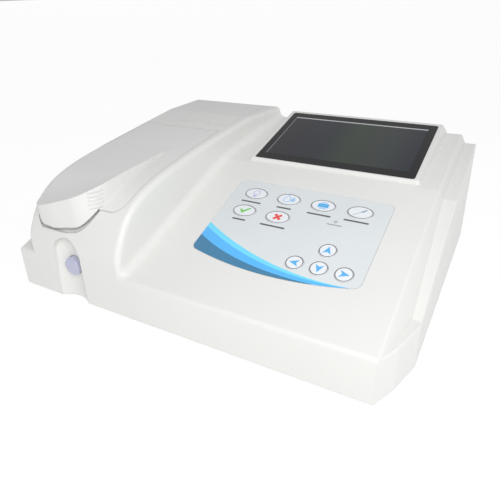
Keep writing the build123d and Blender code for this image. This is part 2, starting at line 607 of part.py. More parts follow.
def case_screws():
    screws = []
    for x, y in boss_places():
        shank = rod((x, y, 0.3), (x, y, 14), BOSS_BORE - SCREW_CLEARANCE)
        head = rod((x, y, 0.3), (x, y, SCREW_HEAD_T), SCREW_HEAD_R)
        cross = box(x - 2, x + 2, y - 0.4, y + 0.4, 0, 1.1) + box(x - 0.4, x + 0.4, y - 2, y + 2, 0, 1.1)
        screws.append(shank + head - cross)
    return Compound(children=screws)


# ---------------------------------------------------------------- keypad and display
def key(name):
    """One key: a cap in its hole, with a flange under the wall that stops it coming out."""
    stem_end = WALL + 0.1 + KEY_FLANGE_T
    cap = keypad_slab(key_face(name), -KEY_RISE, stem_end)
    cap = fillet(cap.faces().sort_by(Axis((0, 0, 0), keypad_plane().z_dir))[-1].edges(), KEY_EDGE)
    return cap + keypad_slab(key_face(name, KEY_FLANGE), WALL + 0.1, stem_end)


def key_domes():
    faces = [Pos(*(OVAL_KEYS | ARROW_KEYS)[name]) * Circle(DOME_R) for name in all_keys()]
    return Compound(children=[keypad_slab(face, DOME_DEPTH, DOME_DEPTH + DOME_H) for face in faces])


def keypad_board():
    top = DOME_DEPTH + DOME_H
    face = Pos((OVERLAY_X0 + OVERLAY_X1) / 2, (OVERLAY_S0 + OVERLAY_S1) / 2)
    return keypad_slab(face * Rectangle(OVERLAY_X1 - OVERLAY_X0 - 4, OVERLAY_S1 - OVERLAY_S0 - 4), top, top + BOARD_T)


def keypad_overlay():
    sheet = keypad_slab(overlay_face(), 0, OVERLAY_T)
    for name in all_keys():
        sheet -= keypad_slab(key_face(name, SLIDE_GAP), -1, OVERLAY_T + 1)
    return sheet - keypad_slab(Pos(LED_X, LED_S) * Circle(LED_R + 0.1), -1, OVERLAY_T + 1)


def power_led():
    lens = keypad_slab(Pos(LED_X, LED_S) * Circle(LED_R), -KEY_RISE, DOME_DEPTH + DOME_H)
    return fillet(lens.faces().sort_by(Axis((0, 0, 0), keypad_plane().z_dir))[-1].edges(), KEY_EDGE)


def display_glass():
    glass = extrude(glass_plane(GLASS_T) * glass_face(0), GLASS_T)
    return chamfer(glass.faces().sort_by(Axis((0, 0, 0), glass_plane().z_dir))[-1].edges(), 0.3)


def display_panel():
    return extrude(glass_plane(WALL + 4.5) * Rectangle(GLASS_W - 10, GLASS_L - 10), 4.3)


def display_board():
    board = extrude(glass_plane(WALL + 9) * Rectangle(GLASS_W - 14, GLASS_L - 14), 1.6)
    for dx in (-50, 0, 50):
        board += extrude(glass_plane(WALL + 12) * Pos(dx, 8) * Rectangle(14, 10), 3)
    return board


# ---------------------------------------------------------------- aspirate button
def aspirate_button():
    """A round push button in the niche; a flange inside the wall holds it in."""
    back = niche_back(BUTTON_Z)
    front = back - 5.5
    cap = rod((NICHE_X, front, BUTTON_Z), (NICHE_X, back + WALL + 3, BUTTON_Z), BUTTON_R)
    cap = fillet(cap.edges().sort_by(Axis.Y)[0], 1.5)
    flange_y = back + WALL + 1.6
    cap += rod((NICHE_X, flange_y, BUTTON_Z), (NICHE_X, flange_y + 1.8, BUTTON_Z), BUTTON_R + 1.5)
    return cap + rod((NICHE_X, back + WALL, BUTTON_Z), (NICHE_X, back + WALL + 5, BUTTON_Z), 2.5)


def aspirate_switch():
    """A push switch on a bracket that stands on the base tray."""
    y0 = niche_back(BUTTON_Z) + WALL + 5 + BUTTON_TRAVEL + 0.3
    body = box(NICHE_X - 6, NICHE_X + 6, y0, y0 + 7, BUTTON_Z - 6, BUTTON_Z + 6)
    bracket = box(NICHE_X - 8, NICHE_X + 8, y0 + 7, y0 + 8.5, TRAY_T, BUTTON_Z + 8)
    return body + bracket + box(NICHE_X - 8, NICHE_X + 8, y0 + 7, y0 + 12, TRAY_T, TRAY_T + 1.5)


# ---------------------------------------------------------------- optics
def optical_bench():
    bench = box(BENCH_X0, BENCH_X1, BENCH_Y0, BENCH_Y1, BENCH_Z0, BENCH_Z1)
    for x in (BENCH_X0 + 8, BENCH_X1 - 8):
        for y in (BENCH_Y0 + 8, BENCH_Y1 - 8):
            bench += rod((x, y, TRAY_T), (x, y, BENCH_Z0), 5)
    return bench


def beam(y0, y1, radius=BEAM_R):
    return rod((BEAM_X, y0, BEAM_Z), (BEAM_X, y1, BEAM_Z), radius)


def cell_block():
    y0, y1 = BLOCK_Y - BLOCK_HALF, BLOCK_Y + BLOCK_HALF
    block = box(BEAM_X - BLOCK_HALF, BEAM_X + BLOCK_HALF, y0, y1, BENCH_Z1, BLOCK_TOP)
    half = CUVETTE / 2 + CUVETTE_GAP
    block -= box(BEAM_X - half, BEAM_X + half, BLOCK_Y - half, BLOCK_Y + half, BEAM_Z - 15, BLOCK_TOP + 1)
    return block - beam(y0 - 1, y1 + 1)


def flow_cell():
    half = CUVETTE / 2
    cell = box(BEAM_X - half, BEAM_X + half, BLOCK_Y - half, BLOCK_Y + half, BEAM_Z - 15, BLOCK_TOP + 2.5)
    cell -= beam(BLOCK_Y - half - 1, BLOCK_Y + half + 1, 2.0)
    for dx in (-3, 3):
        cell += rod((BEAM_X + dx, BLOCK_Y, BLOCK_TOP + 2), (BEAM_X + dx, BLOCK_Y, BLOCK_TOP + 7), 1.2)
    return cell


def cell_tray():
    """The white floor that is seen when the lid is up, round the top of the cell block."""
    tray = box(TRAY_X0, TRAY_X1, TRAY_Y0, TRAY_Y1, TRAY_Z - 2, TRAY_Z + 2)
    tray -= box(TRAY_X0 + 2, TRAY_X1 - 2, TRAY_Y0 + 2, TRAY_Y1 - 2, TRAY_Z, TRAY_Z + 3)
    half = BLOCK_HALF + RIM_GAP
    tray -= box(BEAM_X - half, BEAM_X + half, BLOCK_Y - half, BLOCK_Y + half, TRAY_Z - 3, TRAY_Z + 3)
    for x in (TRAY_X0 + 4, TRAY_X1 - 4):
        for y in (TRAY_Y0 + 6, TRAY_Y1 - 6):
            tray += rod((x, y, BENCH_Z1), (x, y, TRAY_Z - 2), 3.5)
    return tray


def lens_holder():
    holder = box(BEAM_X - 8, BEAM_X + 8, 108, 124, BENCH_Z1, BEAM_Z + 9)
    return holder - beam(107, 117, 5) - beam(117, 125, 6)


def lenses():
    """Two lenses on the beam: one in the holder, one in the nose of the lamp housing."""
    thin = beam(117.0, 120.0, 6 - PIN_CLEARANCE)
    return Compound(children=[thin, beam(LAMP_Y0 + 0.2, LAMP_Y0 + 2.8, 6 - PIN_CLEARANCE)])


def wheel_centre():
    return BEAM_X + WHEEL_PITCH, BEAM_Z


def filter_places():
    cx, cz = wheel_centre()
    turns = [math.pi + 2 * math.pi * i / FILTER_COUNT for i in range(FILTER_COUNT)]
    return [(cx + WHEEL_PITCH * math.cos(a), cz + WHEEL_PITCH * math.sin(a)) for a in turns]


def filter_wheel():
    """A disc of filter holes on a shaft that runs forward into the motor."""
    cx, cz = wheel_centre()
    wheel = rod((cx, WHEEL_Y, cz), (cx, WHEEL_Y + WHEEL_T, cz), WHEEL_R)
    for x, z in filter_places():
        wheel -= rod((x, WHEEL_Y - 1, z), (x, WHEEL_Y + WHEEL_T + 1, z), FILTER_R)
    wheel += rod((cx, WHEEL_Y - 3, cz), (cx, WHEEL_Y, cz), 6)
    return wheel + rod((cx, WHEEL_Y - 14, cz), (cx, WHEEL_Y, cz), SHAFT_R)


def filters():
    discs = [rod((x, WHEEL_Y + 1, z), (x, WHEEL_Y + 3, z), FILTER_R) for x, z in filter_places()]
    return Compound(children=discs)


def filter_motor():
    cx, cz = wheel_centre()
    y0, y1 = BLOCK_Y + BLOCK_HALF + 1.5, WHEEL_Y - 3.5
    motor = rod((cx, y0, cz), (cx, y1, cz), 9.5) + box(cx - 9, cx + 9, y0 + 2, y1 - 2, BENCH_Z1, cz)
    return motor - rod((cx, y1 - 13, cz), (cx, y1 + 1, cz), SHAFT_R + PIN_CLEARANCE)


def lamp_housing():
    """A finned box round the lamp, open to the beam."""
    house = box(LAMP_X0, LAMP_X1, LAMP_Y0, LAMP_Y1, BENCH_Z1, LAMP_TOP)
    w = LAMP_WALL
    house -= box(LAMP_X0 + w, LAMP_X1 - w, LAMP_Y0 + w, LAMP_Y1 - w, BENCH_Z1 + w, LAMP_TOP - w)
    for i in range(6):
        y = LAMP_Y0 + 9 + 6 * i
        for x in (LAMP_X0 - 4, LAMP_X1):
            house += box(x, x + 4, y, y + 2, BENCH_Z1 + 4, LAMP_TOP - 2)
    return house - beam(LAMP_Y0 - 1, LAMP_Y0 + w + 1, 6)


def halogen_lamp():
    y = (LAMP_Y0 + LAMP_Y1) / 2
    z = BENCH_Z1 + LAMP_WALL
    base = rod((BEAM_X, y, z), (BEAM_X, y, z + 16), 8)
    return base + rod((BEAM_X, y, z + 16), (BEAM_X, y, BEAM_Z), 5.5) + Pos(BEAM_X, y, BEAM_Z) * Sphere(5.5)


def detector_board():
    y = BLOCK_Y - BLOCK_HALF - 10
    board = box(BEAM_X - 20, BEAM_X + 20, y, y + 1.6, BENCH_Z1, BEAM_Z + 14)
    return board + rod((BEAM_X, y, BEAM_Z), (BEAM_X, y + 7, BEAM_Z), 5)


# ---------------------------------------------------------------- pump
def pump_motor():
    motor = rod((PUMP_X, PUMP_Y, TRAY_T), (PUMP_X, PUMP_Y, PUMP_HEAD_Z), 17)
    return motor - rod((PUMP_X, PUMP_Y, PUMP_HEAD_Z - 12), (PUMP_X, PUMP_Y, PUMP_HEAD_Z + 1), SHAFT_R + PIN_CLEARANCE)


def pump_head():
    """A cup round the rotor; its wall backs the tube, and is open where the tube leaves."""
    cup = rod((PUMP_X, PUMP_Y, PUMP_HEAD_Z), (PUMP_X, PUMP_Y, PUMP_TOP), PUMP_OUTER)
    cup -= rod((PUMP_X, PUMP_Y, PUMP_HEAD_Z + 3), (PUMP_X, PUMP_Y, PUMP_TOP + 1), PUMP_INNER)
    cup -= rod((PUMP_X, PUMP_Y, PUMP_HEAD_Z - 1), (PUMP_X, PUMP_Y, PUMP_HEAD_Z + 4), SHAFT_R + 0.5)
    for side in (-1, 1):
        y = PUMP_Y + side * TUBE_RING
        cup -= box(PUMP_X - 30, PUMP_X, y - TUBE_R - 0.3, y + TUBE_R + 0.3, TUBE_Z - TUBE_R - 0.3, PUMP_TOP + 1)
    return cup


def pump_rotor():
    disc = rod((PUMP_X, PUMP_Y, PUMP_HEAD_Z + 3.5), (PUMP_X, PUMP_Y, PUMP_HEAD_Z + 5.5), ROLLER_PITCH + 3)
    hub = rod((PUMP_X, PUMP_Y, PUMP_HEAD_Z - 11), (PUMP_X, PUMP_Y, PUMP_TOP - 1), SHAFT_R)
    rotor = disc + hub + rod((PUMP_X, PUMP_Y, PUMP_HEAD_Z + 5.5), (PUMP_X, PUMP_Y, PUMP_TOP - 2), 5)
    for x, y in roller_places():
        rotor += rod((x, y, PUMP_HEAD_Z + 5.5), (x, y, PUMP_TOP - 2), 1.2)
    return rotor


def roller_places():
    turns = [2 * math.pi * i / ROLLER_COUNT for i in range(ROLLER_COUNT)]
    return [(PUMP_X + ROLLER_PITCH * math.cos(a), PUMP_Y + ROLLER_PITCH * math.sin(a)) for a in turns]


def pump_rollers():
    z0, z1 = PUMP_HEAD_Z + 6, PUMP_TOP - 3
    rolls = [tube((x, y, z0), (x, y, z1), ROLLER_R, 1.2 + PIN_CLEARANCE) for x, y in roller_places()]
    return Compound(children=rolls)


def pump_tube():
    """One tube: cell block, round the pump's rollers, then to the waste fitting."""
    low, high = PUMP_Y - TUBE_RING, PUMP_Y + TUBE_RING
    block = BEAM_X + BLOCK_HALF
    inlet = FilletPolyline((block + 0.2, BLOCK_Y + 4, TUBE_Z), (block + 22, BLOCK_Y + 4, TUBE_Z),
                           (PUMP_X - 45, low, TUBE_Z), (PUMP_X, low, TUBE_Z), radius=16)
    ring = ThreePointArc((PUMP_X, low, TUBE_Z), (PUMP_X + TUBE_RING, PUMP_Y, TUBE_Z), (PUMP_X, high, TUBE_Z))
    outlet = FilletPolyline((PUMP_X, high, TUBE_Z), (PUMP_X - 30, high, TUBE_Z), (WASTE_X, high + 40, TUBE_Z),
                            (WASTE_X, PANEL_Y - 8, TUBE_Z), radius=20)
    path = inlet + ring + outlet
    section = Plane(origin=path @ 0, z_dir=path % 0) * Circle(TUBE_R)
    return sweep(section, path=path)


# ---------------------------------------------------------------- rear panel and electronics
def rear_panel():
    x0, x1 = PANEL_X0 + PANEL_GAP, PANEL_X1 - PANEL_GAP
    panel = box(x0, x1, PANEL_Y, PANEL_Y + PANEL_T, PANEL_Z0 + PANEL_GAP, PANEL_Z1 - PANEL_GAP)
    hole = rod((FAN_X, PANEL_Y - 1, FAN_Z), (FAN_X, PANEL_Y + 3, FAN_Z), FAN_SIZE / 2 - 4)
    spokes = []
    for radius in (8, 15, 22):
        ring = tube((FAN_X, PANEL_Y, FAN_Z), (FAN_X, PANEL_Y + PANEL_T, FAN_Z), radius + 1, radius - 1)
        spokes.append(ring)
    for turn in (45, 135):
        bar = Pos(FAN_X, PANEL_Y + PANEL_T / 2, FAN_Z) * Rot(0, turn, 0) * Box(FAN_SIZE - 6, PANEL_T, 2.4)
        spokes.append(bar)
    panel -= hole
    for part in spokes:
        panel += part
    panel -= box(SOCKET_X - 14, SOCKET_X + 14, PANEL_Y - 1, PANEL_Y + 3, SOCKET_Z - 12, SOCKET_Z + 12)
    panel -= box(ROCKER_X - 7, ROCKER_X + 7, PANEL_Y - 1, PANEL_Y + 3, SOCKET_Z - 10.5, SOCKET_Z + 10.5)
    for x, half, _ in PORTS:
        panel -= box(x - half, x + half, PANEL_Y - 1, PANEL_Y + 3, PORT_Z0, PORT_Z1)
    panel -= rod((WASTE_X, PANEL_Y - 1, WASTE_Z), (WASTE_X, PANEL_Y + 3, WASTE_Z), WASTE_R + WASTE_GAP)
    return panel


def data_ports():
    ports = []
    for x, half, kind in PORTS:
        inner = half - (3.5 if kind == "serial" else 1.5)
        port = box(x - half + 0.1, x + half - 0.1, PANEL_Y - 10, PANEL_Y + 4, PORT_Z0 + 0.1, PORT_Z1 - 0.1)
        ports.append(port - box(x - inner, x + inner, PANEL_Y - 4, PANEL_Y + 5, PORT_Z0 + 2.2, PORT_Z1 - 2.2))
    return Compound(children=ports)


def power_inlet():
    """A three-blade mains inlet with a slot for the fuse drawer below its socket."""
    x, z = SOCKET_X, SOCKET_Z
    body = box(x - 13.9, x + 13.9, PANEL_Y - 22, PANEL_Y + PANEL_T + 2.5, z - 11.9, z + 11.9)
    body -= box(x - 11, x + 11, PANEL_Y - 13, PANEL_Y + 5, z - 3, z + 9)
    body -= box(x - 8 - 0.2, x + 8 + 0.2, PANEL_Y - 16, PANEL_Y + 5, z - 10.2, z - 4.8)
    for dx, dz in ((-6, 1.5), (6, 1.5), (0, 5.0)):
        body += box(x + dx - 1, x + dx + 1, PANEL_Y - 13, PANEL_Y - 1, z + dz - 2, z + dz + 2)
    return body


def fuse_drawer():
    x, z = SOCKET_X, SOCKET_Z
    return box(x - 8, x + 8, PANEL_Y - 15, PANEL_Y + PANEL_T + 3.5, z - 10, z - 5)


def power_switch_frame():
    x, z = ROCKER_X, SOCKET_Z
    frame = box(x - 6.9, x + 6.9, PANEL_Y - 16, PANEL_Y + PANEL_T + 1.5, z - 10.4, z + 10.4)
    frame += box(x - 8.2, x + 8.2, PANEL_Y + PANEL_T, PANEL_Y + PANEL_T + 1.5, z - 12, z + 12)
    return frame - box(x - 5.4, x + 5.4, PANEL_Y - 9, PANEL_Y + 5, z - 9, z + 9)


def power_rocker():
    """The rocker, resting in its off position."""
    x, z = ROCKER_X, SOCKET_Z
    body = Cylinder(4.0, 10.2, rotation=(0, 90, 0)) + Pos(0, 2.4, 0) * Box(10.2, 3.6, 16.4)
    return Pos(x, ROCKER_Y, z) * Rot(ROCKER_TILT, 0, 0) * body


def waste_fitting():
    end = DEPTH - 1.0
    nipple = rod((WASTE_X, PANEL_Y - 7.8, WASTE_Z), (WASTE_X, end, WASTE_Z), WASTE_R - 1.0)
    nipple += rod((WASTE_X, PANEL_Y - 3, WASTE_Z), (WASTE_X, PANEL_Y, WASTE_Z), WASTE_R + 2)
    nipple += rod((WASTE_X, PANEL_Y - 3, WASTE_Z), (WASTE_X, PANEL_Y + PANEL_T, WASTE_Z), WASTE_R)
    nipple += rod((WASTE_X, PANEL_Y + PANEL_T, WASTE_Z), (WASTE_X, PANEL_Y + PANEL_T + 2, WASTE_Z), WASTE_R + 1.5)
    return nipple - rod((WASTE_X, PANEL_Y, WASTE_Z), (WASTE_X, end + 1, WASTE_Z), 1.2)


def fan_frame():
    y0, y1 = PANEL_Y - FAN_T - 0.2, PANEL_Y - 0.2
    half = FAN_SIZE / 2
    frame = box(FAN_X - half, FAN_X + half, y0, y1, FAN_Z - half, FAN_Z + half)
    frame -= rod((FAN_X, y0 - 1, FAN_Z), (FAN_X, y1 + 1, FAN_Z), half - 2)
    for turn in (0, 90):
        bar = Pos(FAN_X, y0 + 1, FAN_Z) * Rot(0, turn, 0) * Box(FAN_SIZE - 2, 2, 3)
        frame += bar
    frame += rod((FAN_X, y0, FAN_Z), (FAN_X, y0 + 2, FAN_Z), 11)
    return frame - rod((FAN_X, y0 - 1, FAN_Z), (FAN_X, y0 + 3, FAN_Z), 1.5 + PIN_CLEARANCE)


def fan_rotor():
    y0 = PANEL_Y - FAN_T - 0.2
    rotor = rod((FAN_X, y0 + 2.5, FAN_Z), (FAN_X, PANEL_Y - 1.2, FAN_Z), 11)
    rotor += rod((FAN_X, y0, FAN_Z), (FAN_X, y0 + 3, FAN_Z), 1.5)
    middle = (y0 + 2.5 + PANEL_Y - 1.2) / 2
    reach = FAN_SIZE / 2 - 3.5
    for i in range(7):
        blade = Pos(reach / 2 + 5, 0, 0) * Rot(35, 0, 0) * Box(reach - 10, 1.2, 12)
        rotor += Pos(FAN_X, middle, FAN_Z) * Rot(0, 360 / 7 * i, 0) * blade
    return rotor


def power_supply():
    supply = box(70, 160, 200, 262, TRAY_T, TRAY_T + 30)
    for i in range(9):
        supply -= box(80 + 8 * i, 84 + 8 * i, 210, 250, TRAY_T + 28.5, TRAY_T + 31)
    return supply


def main_board():
    x0, x1, y0, y1 = MAIN_BOARD_X0, MAIN_BOARD_X1, MAIN_BOARD_Y0, MAIN_BOARD_Y1
    board = box(x0, x1, y0, y1, MAIN_BOARD_Z, MAIN_BOARD_Z + BOARD_T)
    for x in (x0 + 5, x1 - 5):
        for y in (y0 + 5, y1 - 5):
            board += rod((x, y, TRAY_T), (x, y, MAIN_BOARD_Z), 3)
    return board


def main_board_parts():
    """Chips, capacitors and connectors, as separate solids on the board."""
    z = MAIN_BOARD_Z + BOARD_T
    chips = [box(x, x + w, y, y + d, z, z + h) for x, y, w, d, h in (
        (-10, 225, 24, 24, 2.5), (22, 220, 14, 20, 2.0), (22, 245, 12, 8, 2.0), (-28, 205, 10, 24, 2.0),
        (-25, 260, 18, 8, 9), (40, 200, 8, 30, 9))]
    cans = [rod((x, y, z), (x, y, z + 14), 4) for x, y in ((0, 205), (12, 205), (45, 250))]
    return Compound(children=chips + cans)


# ---------------------------------------------------------------- build
def build():
    save("upper_housing", upper_housing())
    save("base_tray", base_tray())
    save("rubber_feet", rubber_feet())
    save("case_screws", case_screws())
    save("cell_lid", cell_lid())
    z = hinge_axis()
    ends = (LID_LEFT - PIN_LEFT_END, LID_REAR, z), (LID_RIGHT + PIN_RIGHT_END, LID_REAR, z)
    save("lid_hinge_pin", rod(*ends, PIN_R))
    save("printer_door", printer_door())
    z = door_hinge_z()
    save("printer_door_pin", rod((DOOR_X0 - 2.5, DOOR_Y1, z), (DOOR_X1 + 2.5, DOOR_Y1, z), DOOR_PIN_R))
    save("printer_body", printer_body())
    save("platen_roller", platen_roller())
    save("paper_roll", paper_roll())
    save("paper_spindle", rod((PRINTER_X0, ROLL_Y, ROLL_Z), (PRINTER_X1, ROLL_Y, ROLL_Z), SPINDLE_R))
    for name in all_keys():
        save(name, key(name))
    for part in (key_domes, keypad_board, keypad_overlay, power_led, display_glass, display_panel, display_board,
                 aspirate_button, aspirate_switch, optical_bench, cell_block, flow_cell, cell_tray, lens_holder,
                 lenses, filter_wheel, filters, filter_motor, lamp_housing, halogen_lamp, detector_board,
                 pump_motor, pump_head, pump_rotor, pump_rollers, pump_tube, rear_panel, data_ports, power_inlet,
                 fuse_drawer, power_switch_frame, power_rocker, waste_fitting, fan_frame, fan_rotor,
                 power_supply, main_board, main_board_parts):
        save(part.__name__, part())


build()
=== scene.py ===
import json
import math

import bmesh
import bpy
import numpy as np
from mathutils import Matrix, Vector
from mathutils.geometry import tessellate_polygon


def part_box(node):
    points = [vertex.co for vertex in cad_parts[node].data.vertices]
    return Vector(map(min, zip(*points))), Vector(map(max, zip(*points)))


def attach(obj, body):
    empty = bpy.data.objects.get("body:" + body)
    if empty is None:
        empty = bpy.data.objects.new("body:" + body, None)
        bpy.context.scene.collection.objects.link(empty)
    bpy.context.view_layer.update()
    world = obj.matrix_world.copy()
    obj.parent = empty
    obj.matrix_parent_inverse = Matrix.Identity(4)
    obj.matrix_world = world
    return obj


# Looks of the benchtop spectrophotometer: camera, light, materials and the printed marks on its keypad.
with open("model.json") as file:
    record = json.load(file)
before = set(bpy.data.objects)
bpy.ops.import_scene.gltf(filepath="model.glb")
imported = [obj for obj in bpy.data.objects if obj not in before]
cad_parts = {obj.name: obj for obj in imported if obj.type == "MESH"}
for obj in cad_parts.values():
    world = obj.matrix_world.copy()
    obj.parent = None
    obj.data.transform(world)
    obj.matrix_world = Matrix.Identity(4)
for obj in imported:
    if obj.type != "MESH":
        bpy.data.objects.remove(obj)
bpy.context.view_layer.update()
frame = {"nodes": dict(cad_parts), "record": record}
MM = 0.001
NODES = frame["nodes"]

# ---------------------------------------------------------------- camera
CAMERA_PLACE = (0.2247, -0.3954, 0.2641)
CAMERA_RIGHT = (0.8758, 0.4818, -0.0280)
CAMERA_UP = (-0.2127, 0.4375, 0.8737)
LENS, SENSOR, CLIP_START = 33.87, 36.0, 0.01


def add_camera():
    """The camera stands to the right of the front, a little above the instrument."""
    right, up = Vector(CAMERA_RIGHT).normalized(), Vector(CAMERA_UP).normalized()
    back = right.cross(up).normalized()
    up = back.cross(right)
    data = bpy.data.cameras.new("camera")
    data.lens, data.sensor_width, data.clip_start = LENS, SENSOR, CLIP_START
    camera = bpy.data.objects.new("camera", data)
    turn = Matrix((right, up, back)).transposed().to_4x4()
    camera.matrix_world = Matrix.Translation(CAMERA_PLACE) @ turn
    bpy.context.collection.objects.link(camera)
    bpy.context.scene.camera = camera


# ---------------------------------------------------------------- materials
NOISE_LOW, NOISE_HIGH = 0.3, 0.7         # the part of the noise that the shades and ranges are spread over
SHADE_SCALE, GLOSS_SCALE = 14, 60        # noise scales, per metre, of moulded surfaces
SCRATCH_SCALE, SCRATCH_DEPTH = 900, 0.01 * MM
STREAK_SCALE, HAZE_SCALE = 90, 200       # of clear pieces
SMEAR_SCALE, WIPE_SCALE, WIPE_DETAIL = 18, 35, 5.0
GLASS_SPECULAR = 0.42
BEVEL_SAMPLES = 6
TRACK_SCALE, TRACK_WIDTH, MASK_SCALE = 130, 0.03, 150


def new_material(name):
    material = bpy.data.materials.new(name)
    material.use_nodes = True
    return material, material.node_tree, material.node_tree.nodes["Principled BSDF"]


def noise(tree, scale, detail=3.0, rough=0.55):
    """Noise over the object's own coordinates, in metres."""
    place = tree.nodes.new("ShaderNodeTexCoord")
    texture = tree.nodes.new("ShaderNodeTexNoise")
    texture.inputs["Scale"].default_value = scale
    texture.inputs["Detail"].default_value = detail
    texture.inputs["Roughness"].default_value = rough
    tree.links.new(place.outputs["Object"], texture.inputs["Vector"])
    return texture.outputs["Fac"]


def spread(tree, value, low, high, start=NOISE_LOW, end=NOISE_HIGH):
    """Maps a noise value onto a range."""
    ranged = tree.nodes.new("ShaderNodeMapRange")
    ranged.inputs["From Min"].default_value = start
    ranged.inputs["From Max"].default_value = end
    ranged.inputs["To Min"].default_value = low
    ranged.inputs["To Max"].default_value = high
    tree.links.new(value, ranged.inputs["Value"])
    return ranged.outputs["Result"]


def shades(tree, value, dark, light):
    """Turns a noise value into a colour between two shades."""
    ramp = tree.nodes.new("ShaderNodeValToRGB")
    ramp.color_ramp.elements[0].color = (*dark, 1)
    ramp.color_ramp.elements[1].color = (*light, 1)
    ramp.color_ramp.elements[0].position = NOISE_LOW
    ramp.color_ramp.elements[1].position = NOISE_HIGH
    tree.links.new(value, ramp.inputs["Fac"])
    return ramp.outputs["Color"]


def add_bump(tree, shader, value, height, strength=1.0, soften=0.0):
    """Grain on the surface; soften is the radius to which sharp edges are shaded round."""
    bump = tree.nodes.new("ShaderNodeBump")
    bump.inputs["Distance"].default_value = height
    bump.inputs["Strength"].default_value = strength
    if soften:
        bevel = tree.nodes.new("ShaderNodeBevel")
        bevel.samples = BEVEL_SAMPLES
        bevel.inputs["Radius"].default_value = soften
        tree.links.new(bevel.outputs["Normal"], bump.inputs["Normal"])
    tree.links.new(value, bump.inputs["Height"])
    tree.links.new(bump.outputs["Normal"], shader.inputs["Normal"])


def moulded(name, colour, rough, grain=0.00002, scale=2600, vary=0.03, metallic=0.0, coat=0.0,
            soften=0.0):
    """Moulded plastic or painted metal: fine spark-eroded grain and a slight change of shade."""
    material, tree, shader = new_material(name)
    dark = [c * (1 - vary) for c in colour]
    light = [min(1, c * (1 + vary / 2)) for c in colour]
    tone = shades(tree, noise(tree, SHADE_SCALE), dark, light)
    gloss = spread(tree, noise(tree, GLOSS_SCALE), rough - 0.04, rough + 0.05)
    tree.links.new(tone, shader.inputs["Base Color"])
    tree.links.new(gloss, shader.inputs["Roughness"])
    shader.inputs["Metallic"].default_value = metallic
    shader.inputs["Coat Weight"].default_value = coat
    add_bump(tree, shader, noise(tree, scale, 2.0), grain, soften=soften)
    return material


def brushed(name, colour, rough, stretch=(1, 1, 12)):
    """Turned or brushed metal: fine scratches in one direction."""
    material, tree, shader = new_material(name)
    place = tree.nodes.new("ShaderNodeTexCoord")
    mapping = tree.nodes.new("ShaderNodeMapping")
    mapping.inputs["Scale"].default_value = stretch
    texture = tree.nodes.new("ShaderNodeTexNoise")
    texture.inputs["Scale"].default_value = SCRATCH_SCALE
    texture.inputs["Detail"].default_value = 4
    tree.links.new(place.outputs["Object"], mapping.inputs["Vector"])
    tree.links.new(mapping.outputs["Vector"], texture.inputs["Vector"])
    value = texture.outputs["Fac"]
    dark = [c * 0.85 for c in colour]
    tree.links.new(shades(tree, value, dark, colour), shader.inputs["Base Color"])
    tree.links.new(spread(tree, value, rough - 0.08, rough + 0.08), shader.inputs["Roughness"])
    shader.inputs["Metallic"].default_value = 1.0
    add_bump(tree, shader, value, SCRATCH_DEPTH, 0.4)
    return material


def clear(name, colour, rough=0.05, alpha=0.5):
    """Clear plastic or glass, as a see-through shell with faint streaks."""
    material, tree, shader = new_material(name)
    tone = shades(tree, noise(tree, STREAK_SCALE), [c * 0.93 for c in colour], colour)
    gloss = spread(tree, noise(tree, HAZE_SCALE), rough, rough + 0.05)
    tree.links.new(tone, shader.inputs["Base Color"])
    tree.links.new(gloss, shader.inputs["Roughness"])
    shader.inputs["Alpha"].default_value = alpha
    return material


def screen_glass():
    """Black cover glass, very smooth, with the faint smears of a wiped screen."""
    material, tree, shader = new_material("cover_glass")
    tone = shades(tree, noise(tree, SMEAR_SCALE), (0.0075, 0.0075, 0.0085), (0.0115, 0.011, 0.012))
    gloss = spread(tree, noise(tree, WIPE_SCALE, WIPE_DETAIL), 0.05, 0.12)
    tree.links.new(tone, shader.inputs["Base Color"])
    tree.links.new(gloss, shader.inputs["Roughness"])
    shader.inputs["Specular IOR Level"].default_value = GLASS_SPECULAR
    return material


# Painted reflections on the liquid crystal area, from its left edge to its right.
LCD_REFLECTION_TINTS = ((0.0, (0.026, 0.020, 0.026)), (0.35, (0.020, 0.024, 0.030)), (0.56, (0.034, 0.044, 0.032)),
             (0.75, (0.034, 0.040, 0.038)), (1.0, (0.016, 0.019, 0.030)))    # place across, and colour


def lcd_area():
    """The unlit liquid crystal area: dark, with painted reflections across it, green in the middle, plum
    at the left, blue at the right.
    """
    material, tree, shader = new_material("lcd_area")
    place = tree.nodes.new("ShaderNodeTexCoord")
    split = tree.nodes.new("ShaderNodeSeparateXYZ")
    tree.links.new(place.outputs["Object"], split.inputs["Vector"])
    low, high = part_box("display_glass")
    share = spread(tree, split.outputs["X"], 0, 1, low[0], high[0])
    # The ramp paints the reflections across the area from left to right.
    ramp = tree.nodes.new("ShaderNodeValToRGB")
    ramp.color_ramp.interpolation = "EASE"
    for at, colour in LCD_REFLECTION_TINTS[1:-1]:
        ramp.color_ramp.elements.new(at).color = (*colour, 1)
    ramp.color_ramp.elements[0].color = (*LCD_REFLECTION_TINTS[0][1], 1)
    ramp.color_ramp.elements[-1].color = (*LCD_REFLECTION_TINTS[-1][1], 1)
    tree.links.new(share, ramp.inputs["Fac"])
    tree.links.new(ramp.outputs["Color"], shader.inputs["Base Color"])
    gloss = spread(tree, noise(tree, WIPE_SCALE, WIPE_DETAIL), 0.06, 0.13)
    tree.links.new(gloss, shader.inputs["Roughness"])
    shader.inputs["Specular IOR Level"].default_value = GLASS_SPECULAR
    return material


